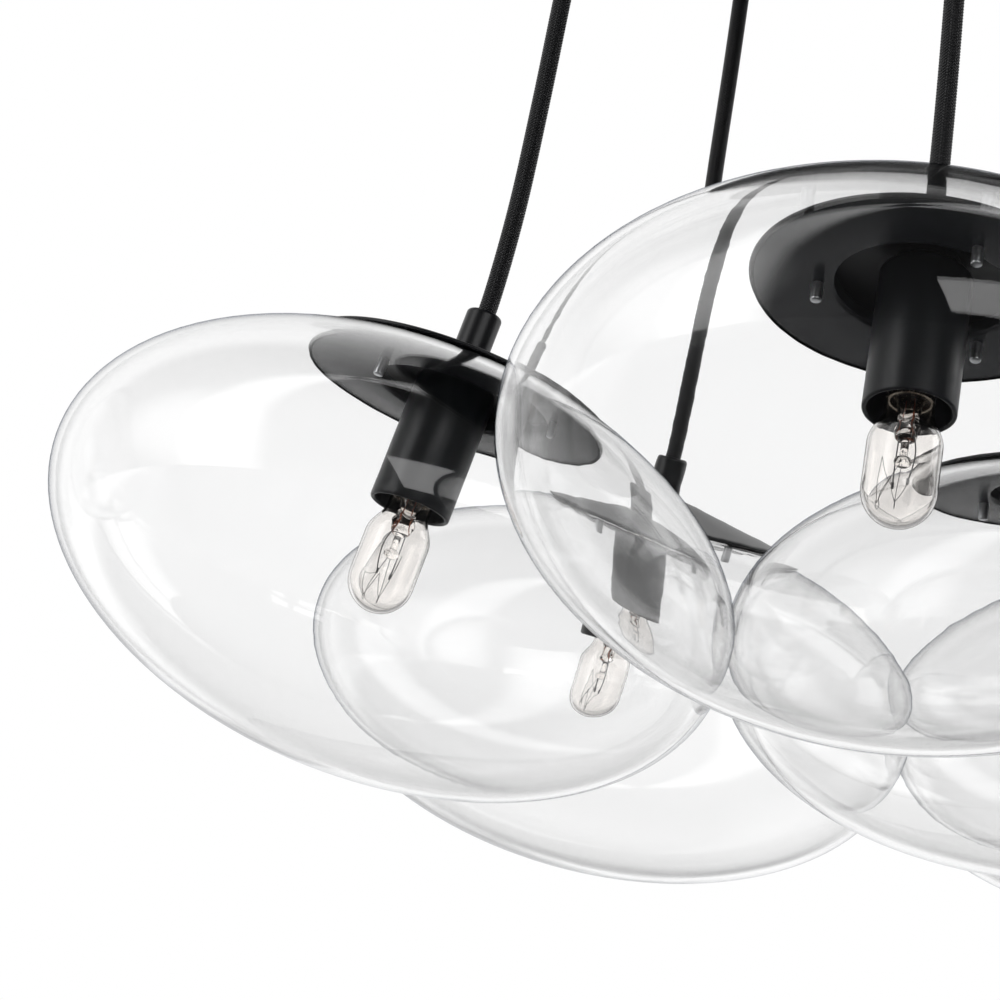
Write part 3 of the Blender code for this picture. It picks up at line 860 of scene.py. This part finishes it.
def support_routes():
    """Fine wires from the bead out to the hooks, each with its small U at the end."""
    routes = []
    foot = BEAD_DEPTH + BEAD_HALF_HEIGHT * 0.5
    for x, y, depth in hooks()[1::2]:
        low = depth + 1.2 * MM
        arm = [(0.15, foot), (0.5, foot + 5 * MM), (0.9, depth - 3 * MM)]
        hook = [(0.86, low), (1, low + 0.5 * MM), (1.06, depth - 0.8 * MM)]
        routes.append([(x * share, y * share, down) for share, down in arm + hook])
    return routes


def filament_routes():
    """The filament without its fine coil, strung slackly over its hooks between the lead wires."""
    stops = [(-LEAD_END_SIDE, 0, LEAD_END)] + hooks() + [(LEAD_END_SIDE, 0, LEAD_END)]
    routes = []
    for first, second in zip(stops, stops[1:]):
        middle = [(a + b) / 2 for a, b in zip(first, second)]
        routes.append([first, (middle[0] * 1.08, middle[1] * 1.08, middle[2] + 0.8 * MM), second])
    return routes


# Each piece's name, mesh, finish and slot, and the node that it replaces
PENDANT_PIECES = (
    ("glass_globe", "globe", "glass", "clear_glass", "globe"),
    ("domed_lid", "lid", "coat", "black_metal", "lid"),
    ("mouth_plate", "retainer", "enamel", "black_metal", "retainer"),
    ("holder_cup", "cup", "coat", "black_metal", "socket"),
    ("cord_collar", "collar", "coat", "black_metal", "collar"),
)
BULB_PIECES = (
    ("bulb_glass", "bulb", "bulb", "bulb_glass", "bulb"),
    ("bulb_cap", "cap", "nickel", "zinc_steel", None),
    ("bulb_stem", "stem", "bulb", "bulb_glass", None),
    ("bulb_leads", "leads", "lead", "zinc_steel", None),
    ("bulb_seal_wires", "copper", "copper", "zinc_steel", None),
    ("lead_crimps", "crimps", "lead", "zinc_steel", None),
    ("filament_supports", "supports", "lead", "zinc_steel", None),
    ("filament", "filament", "tungsten", "zinc_steel", None),
)


def add_set(pieces, tag, body, place, meshes, finishes):
    """A pendant's or a bulb's set of pieces, on one body and in one place."""
    for name, mesh, finish, slot, node in pieces:
        replaced = [f"{node}_{tag}"] if node else []
        add_piece(f"{name}_{tag}", meshes[mesh], finishes[finish], body, place, slot, replaced)


def add_pendant(tag, meshes, finishes):
    """Everything that hangs on one cord: its pieces, its lid's screws and its bulb."""
    body = "pendant_" + tag
    place = places[tag]
    add_set(PENDANT_PIECES, tag, body, place, meshes, finishes)
    for number in range(STUD_COUNT):
        turn = Matrix.Rotation(math.radians(STUD_TURNS[tag]) + math.tau * number / STUD_COUNT, 4, "Z")
        spot = place @ turn @ Matrix.Translation((STUD_CIRCLE, 0, 0))
        name = f"lid_screw_{tag}_{number + 1}"
        add_piece(name, meshes["stud"], finishes["zinc"], body, spot, "zinc_steel")
    turned_bulb = place @ Matrix.Rotation(math.radians(BULB_TURNS[tag]), 4, "Z")
    add_set(BULB_PIECES, tag, "lamp_" + tag, turned_bulb, meshes, finishes)


# The canopy and what hangs in it

PORT_CLEARANCE = 0.3 * MM
FLAT_RING = 1.5 * MM  # keeps the plate's shading flat up to its rounded edge
SIDE_RING = 8 * MM  # an edge loop round the side, this far below the ceiling


def cover_shape():
    """The canopy pan in sheet: a round plate with a hole for each grip, and its turned-up edge."""
    shape = bmesh.new()
    sides = 192
    flat = CANOPY_RADIUS - CANOPY_EDGE_ROUND
    bmesh.ops.create_circle(shape, segments=sides, radius=flat - FLAT_RING)
    rim_edges = shape.edges[:]
    for tag in TAGS:
        middle = Matrix.Translation(port_place(tag).translation)
        bmesh.ops.create_circle(shape, segments=48, radius=GRIP_RADIUS + PORT_CLEARANCE, matrix=middle)
    bmesh.ops.triangle_fill(shape, use_beauty=True, use_dissolve=False, edges=shape.edges[:])
    bmesh.ops.translate(shape, verts=shape.verts[:], vec=(0, 0, cover_face))
    edges = [edge for edge in rim_edges if edge.is_valid]
    steps = arc((flat, cover_face + CANOPY_EDGE_ROUND), CANOPY_EDGE_ROUND, -90, 0, 8)
    steps += [(CANOPY_RADIUS, -SIDE_RING), (CANOPY_RADIUS, 0)]
    radius, height = flat - FLAT_RING, cover_face
    for next_radius, next_height in steps:
        grown = bmesh.ops.extrude_edge_only(shape, edges=edges)["geom"]
        points = [part for part in grown if isinstance(part, bmesh.types.BMVert)]
        edges = [part for part in grown if isinstance(part, bmesh.types.BMEdge)]
        wider = next_radius / radius
        bmesh.ops.scale(shape, vec=(wider, wider, 1), verts=points)
        bmesh.ops.translate(shape, verts=points, vec=(0, 0, next_height - height))
        radius, height = next_radius, next_height
    bmesh.ops.recalc_face_normals(shape, faces=shape.faces[:])
    lowest = min(shape.faces, key=lambda face: face.calc_center_median().z)
    if lowest.normal.z > 0:
        bmesh.ops.reverse_faces(shape, faces=shape.faces[:])
    bmesh.ops.solidify(shape, geom=shape.faces[:], thickness=CANOPY_SHEET)
    bmesh.ops.recalc_face_normals(shape, faces=shape.faces[:])
    return shape


def add_cover(finishes):
    """The canopy cover, a shallow spun pan of painted steel sheet."""
    mesh = as_mesh("canopy_pan", cover_shape(), 30)
    add_piece("canopy_pan", mesh, finishes["coat"], "canopy", Matrix(), "black_metal", ["canopy_cover"])


def grip_outline():
    """A grip's lower end, from its closed bore to the outside above the bell mouth."""
    lip = 0.8 * MM
    bore_top = pivot_height + 1.4 * MM
    outline = [(0, bore_top), (GRIP_BORE_RADIUS, bore_top), (GRIP_BORE_RADIUS, pivot_height)]
    outline += [
        (
            GRIP_BORE_RADIUS + (GRIP_BELL_RADIUS - GRIP_BORE_RADIUS) * (step / 8) ** 1.3,
            pivot_height - (GRIP_PIVOT_DEPTH - 0.3 * MM) * step / 8,
        )
        for step in range(1, 9)
    ]
    outline += arc((GRIP_RADIUS - lip, grip_foot + lip), lip, -90, 0, 5)
    return outline


def ring_grip_mesh():
    """A ring grip: a stepped bush that sits in its hole on a flange inside the canopy."""
    flange_foot = cover_floor + TOUCH_GAP
    lip = 0.5 * MM
    outline = grip_outline() + [(GRIP_RADIUS, flange_foot), (GRIP_FLANGE_RADIUS, flange_foot)]
    outline += arc((GRIP_FLANGE_RADIUS - lip, flange_foot + GRIP_FLANGE - lip), lip, 0, 90, 4)
    outline += [(0, flange_foot + GRIP_FLANGE)]
    return as_mesh("ring_grip", turned(outline, 64), 30)


def centre_grip_mesh():
    """The middle grip: its flange clamps the cover from below, and its sleeve takes the bar's stem."""
    flange_top = cover_face - TOUCH_GAP
    flange_foot = flange_top - GRIP_FLANGE
    lip = 0.6 * MM
    sleeve = cover_floor + CENTRE_STEM
    bore = SLEEVE_BORE_RADIUS
    bore_floor = sleeve - SLEEVE_BORE_DEPTH
    outline = grip_outline() + [(GRIP_RADIUS, flange_foot)]
    outline += arc((GRIP_FLANGE_RADIUS - lip, flange_foot + lip), lip, -90, 0, 4)
    outline += arc((GRIP_FLANGE_RADIUS - lip, flange_top - lip), lip, 0, 90, 4)
    outline += [(GRIP_RADIUS, flange_top), (GRIP_RADIUS, sleeve)]
    outline += [(bore, sleeve), (bore, bore_floor), (0, bore_floor)]
    return as_mesh("centre_grip", turned(outline, 64), 30)


def rounded_copy(node, width):
    """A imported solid's own shape with its sharp edges slightly rounded."""
    shape = bmesh.new()
    shape.from_mesh(frame["nodes"][node].data)
    bmesh.ops.remove_doubles(shape, verts=shape.verts[:], dist=MERGE)
    bmesh.ops.dissolve_limit(shape, angle_limit=math.radians(1), verts=shape.verts[:], edges=shape.edges[:])
    sharp = [edge for edge in shape.edges if edge.is_manifold and edge.calc_face_angle() > math.radians(35)]
    bmesh.ops.bevel(
        shape,
        geom=sharp,
        offset=width,
        segments=2,
        profile=0.5,
        affect="EDGES",
        material=-1,
        clamp_overlap=True,
    )
    return as_mesh(node, shape, 30)


# The solids that keep their own shape, with the finish, the slot and the width of their edges' rounding
ROUNDED_COPIES = (
    ("steel_crossbar", "ceiling_crossbar", "strap", "zinc_steel", 0.4 * MM),
    ("wire_block", "terminal_block", "plastic", "white_plastic", 0.5 * MM),
)


def add_canopy(finishes):
    """Everything at the ceiling."""
    add_cover(finishes)
    for tag in TAGS:
        mesh = ring_grip_mesh() if tag in RING_TAGS else centre_grip_mesh()
        own = (mesh, finishes["coat"], "canopy", port_place(tag), "black_metal")
        add_piece(f"grip_bush_{tag}", *own, [f"cord_grip_{tag}"])
    for name, node, finish, slot, width in ROUNDED_COPIES:
        add_piece(name, rounded_copy(node, width), finishes[finish], "canopy", Matrix(), slot, [node])


# The studio

BACKDROP = "ffffff"
BACKDROP_GAIN = 0.02  # what a white room would give back for each glass surface that is looked through
BACKDROP_MOST = 1.35
AMBIENT = 0.8
# Gloss shows the world darkest in front and brightest behind, over this span of the way's own Y
MIRROR_DARK = 0.05
MIRROR_SPAN = (0.1, 0.85)
MIRROR_RISE = 0.1  # how much the way's Z adds to its Y
# Soft lights that only gloss shows: where they stand, the cosine of their reach and their brightness
GLOWS = (((-0.918, -0.129, 0.375), 0.84, 1.2),)
# The same for upright strips, by their compass direction alone
STRIPS = (((-0.94, -0.34, 0), 0.95, 1.6), ((0.985, 0.17, 0), 0.95, 1.8))
SOFTBOX_PLACE = (0.35, -2.2, 0.33)
SOFTBOX_AIM = (-0.12, -0.2, -0.33)
SOFTBOX_SIZE = (1.6, 0.9)
SOFTBOX_RADIANCE = 2.2
FLOOR = "f2f2f2"
FLOOR_DROP = 2.7
FLOOR_REACH = 60  # each way from the middle
FLOOR_LIFT = 0.15
FLOOR_IN_MIRRORS = "202020"
# What gloss shows of the floor behind the object: from where, to where (metres), and how much brighter
FLOOR_GLOWS = ((0.3, 2.4, 0.4), (6.0, 12.0, 0.6))


HALF_BOUNCE = 0.5  # parts rays with no bounce from those with one or more


def mirrored_ray(tree, path):
    """One for a ray that gloss has mirrored on its way, and nothing for any other."""
    return maths(tree, "GREATER_THAN", path.outputs["Glossy Depth"], HALF_BOUNCE)


def seen_straight(tree):
    """Which rays are the eye's own, which are mirrored, and how bright the backdrop is to the first."""
    path = add(tree, "ShaderNodeLightPath")
    mirrored = mirrored_ray(tree, path)
    straight = maths(tree, "SUBTRACT", path.outputs["Is Transmission Ray"], mirrored)
    seen = maths(tree, "MAXIMUM", path.outputs["Is Camera Ray"], straight)
    gain = maths(tree, "MULTIPLY_ADD", path.outputs["Transmission Depth"], BACKDROP_GAIN, 1.0)
    return seen, mirrored, maths(tree, "MINIMUM", gain, BACKDROP_MOST)


def facing(place, aim):
    """Axes with Z from the aim toward the place, and Y as upright as can be."""
    return (Vector(place) - Vector(aim)).to_track_quat("Z", "Y").to_matrix()


def toward(tree, way, aim):
    """How far a direction points toward an aim, as the cosine between them."""
    return add(tree, "ShaderNodeVectorMath", {0: way, 1: aim}, operation="DOT_PRODUCT").outputs["Value"]


def softbox_glow(tree, way):
    """The front softbox as gloss shows it: an even rectangle in the direction where it stands."""
    away = (Vector(SOFTBOX_PLACE) - Vector(SOFTBOX_AIM)).length
    parts = [toward(tree, way, axis) for axis in facing(SOFTBOX_PLACE, SOFTBOX_AIM).transposed()]
    inside = maths(tree, "GREATER_THAN", parts[2], 0.0)
    for part, width in zip(parts, SOFTBOX_SIZE):
        off = maths(tree, "ABSOLUTE", maths(tree, "DIVIDE", part, parts[2]))
        inside = maths(tree, "MULTIPLY", inside, maths(tree, "LESS_THAN", off, width / 2 / away))
    return maths(tree, "MULTIPLY", inside, SOFTBOX_RADIANCE)


def make_world():
    """A white backdrop to the eye and through glass, mirrored from behind and above but dark in front."""
    world = bpy.data.worlds.new("studio")
    bpy.context.scene.world = world
    world.use_nodes = True
    tree = world.node_tree
    tree.nodes.clear()
    seen, mirrored, white = seen_straight(tree)
    way = add(tree, "ShaderNodeTexCoord").outputs["Generated"]
    axes = add(tree, "ShaderNodeSeparateXYZ", {0: way}).outputs
    lean = maths(tree, "MULTIPLY_ADD", axes[2], MIRROR_RISE, axes[1])
    bright = maths(tree, "ADD", ramp(tree, lean, *MIRROR_SPAN, MIRROR_DARK), softbox_glow(tree, way))
    level = add(tree, "ShaderNodeVectorMath", {0: way, 1: (1, 1, 0)}, operation="MULTIPLY")
    compass = add(tree, "ShaderNodeVectorMath", {0: level.outputs[0]}, operation="NORMALIZE").outputs[0]
    for lights, base in ((GLOWS, way), (STRIPS, compass)):
        for aim, reach, radiance in lights:
            cosine = toward(tree, base, Vector(aim).normalized())
            bright = maths(tree, "ADD", bright, ramp(tree, cosine, reach, 1.0, 0.0, radiance))
    glossy = add(tree, "ShaderNodeMix", {0: mirrored, 2: AMBIENT, 3: bright})
    light = add(tree, "ShaderNodeMix", {0: seen, 2: glossy.outputs[0], 3: white})
    back = add(tree, "ShaderNodeBackground", {"Color": tone(BACKDROP), "Strength": light.outputs[0]})
    add(tree, "ShaderNodeOutputWorld", {"Surface": back.outputs[0]})


def add_softbox(name, place, aim, size, radiance):
    """A rectangular soft light, which the world shows in gloss and which the eye never sees."""
    lamp = bpy.data.lights.new(name, "AREA")
    lamp.shape = "RECTANGLE"
    lamp.size, lamp.size_y = size
    lamp.energy = radiance * math.pi * size[0] * size[1]
    made = bpy.data.objects.new(name, lamp)
    bpy.context.scene.collection.objects.link(made)
    made.matrix_world = Matrix.Translation(place) @ facing(place, aim).to_4x4()
    made.visible_camera = False
    made.visible_glossy = False
    made.visible_transmission = False


def pale_floor():
    """Plain pale paint, which gloss shows dark near the object and pale again far behind it."""
    made, tree = blank("pale_floor")
    path = add(tree, "ShaderNodeLightPath")
    mirrored = mirrored_ray(tree, path)
    spot = add(tree, "ShaderNodeSeparateXYZ", {0: add(tree, "ShaderNodeTexCoord").outputs["Object"]})
    glows = [ramp(tree, spot.outputs[1], start, stop, 0.0, share) for start, stop, share in FLOOR_GLOWS]
    bounces = maths(tree, "ADD", path.outputs["Glossy Depth"], path.outputs["Diffuse Depth"])
    lift = maths(tree, "MULTIPLY", maths(tree, "LESS_THAN", bounces, HALF_BOUNCE), FLOOR_LIFT)
    glow = add(tree, "ShaderNodeMix", {0: mirrored, 2: lift, 3: maths(tree, "ADD", *glows)})
    give_surface(
        tree,
        {
            "Base Color": blend(tree, mirrored, FLOOR, FLOOR_IN_MIRRORS),
            "Roughness": 0.8,
            "Emission Color": tone("ffffff"),
            "Emission Strength": glow.outputs[0],
        },
    )
    return made


def add_floor():
    """A wide plain floor, a room's height below the ceiling."""
    shape = bmesh.new()
    bmesh.ops.create_grid(shape, x_segments=1, y_segments=1, size=FLOOR_REACH)
    bmesh.ops.translate(shape, verts=shape.verts[:], vec=(0, 0, -FLOOR_DROP))
    mesh = as_mesh("floor", shape)
    mesh.materials.append(pale_floor())
    floor = bpy.data.objects.new("floor", mesh)
    bpy.context.scene.collection.objects.link(floor)


def set_light_paths():
    """Glass stands behind glass many walls deep, so rays may go on for longer than usual."""
    cycles = bpy.context.scene.cycles
    cycles.max_bounces = 48
    cycles.transmission_bounces = 48
    cycles.transparent_max_bounces = 64
    cycles.glossy_bounces = 8
    cycles.diffuse_bounces = 3


place_camera()
set_light_paths()
make_world()
add_floor()
add_softbox("softbox_front", SOFTBOX_PLACE, SOFTBOX_AIM, SOFTBOX_SIZE, SOFTBOX_RADIANCE)

finishes = {
    "glass": blown_clear_glass(),
    "coat": satin_black_powder_coat(),
    "enamel": gloss_black_enamel(),
    "bulb": bulb_glass(),
    "zinc": bright_metal("zinc_plated_steel", "e2e4e6", 0.32, 0.6 * MM),
    "nickel": bright_metal("nickel_plated_brass", "b9aea0", 0.25, 0.8 * MM),
    "lead": bright_metal("nickel_wire", "77787a", 0.35, 0.4 * MM),
    "copper": bright_metal("copper_clad_wire", "b0735e", 0.35, 0.4 * MM),
    "tungsten": bright_metal("drawn_tungsten", "6b6a69", 0.5, 0.3 * MM),
    "strap": bright_metal("zinc_plated_strap", "b9bcc0", 0.38, 2.5 * MM),
    "plastic": moulded_white_polyamide(),
    "textile": braided_black_cotton(),
}
meshes = {
    "globe": globe_mesh(),
    "lid": lid_mesh(),
    "retainer": retainer_mesh(),
    "cup": cup_mesh(),
    "collar": collar_mesh(),
    "stud": stud_mesh(),
    "bulb": bulb_mesh(),
    "cap": cap_mesh(),
    "stem": stem_mesh(),
    "leads": wire_mesh("leads", lead_routes(), 0.22 * MM),
    "crimps": wire_mesh("crimps", crimp_routes(), 0.42 * MM),
    "copper": wire_mesh("copper", copper_routes(), 0.25 * MM),
    "supports": wire_mesh("supports", support_routes(), 0.1 * MM, 6),
    "filament": wire_mesh("filament", filament_routes(), 0.09 * MM, 6),
}
add_canopy(finishes)
for tag in TAGS:
    add_cord(tag, finishes["textile"])
    add_pendant(tag, meshes, finishes)

bpy.context.scene.view_settings.view_transform = "Standard"
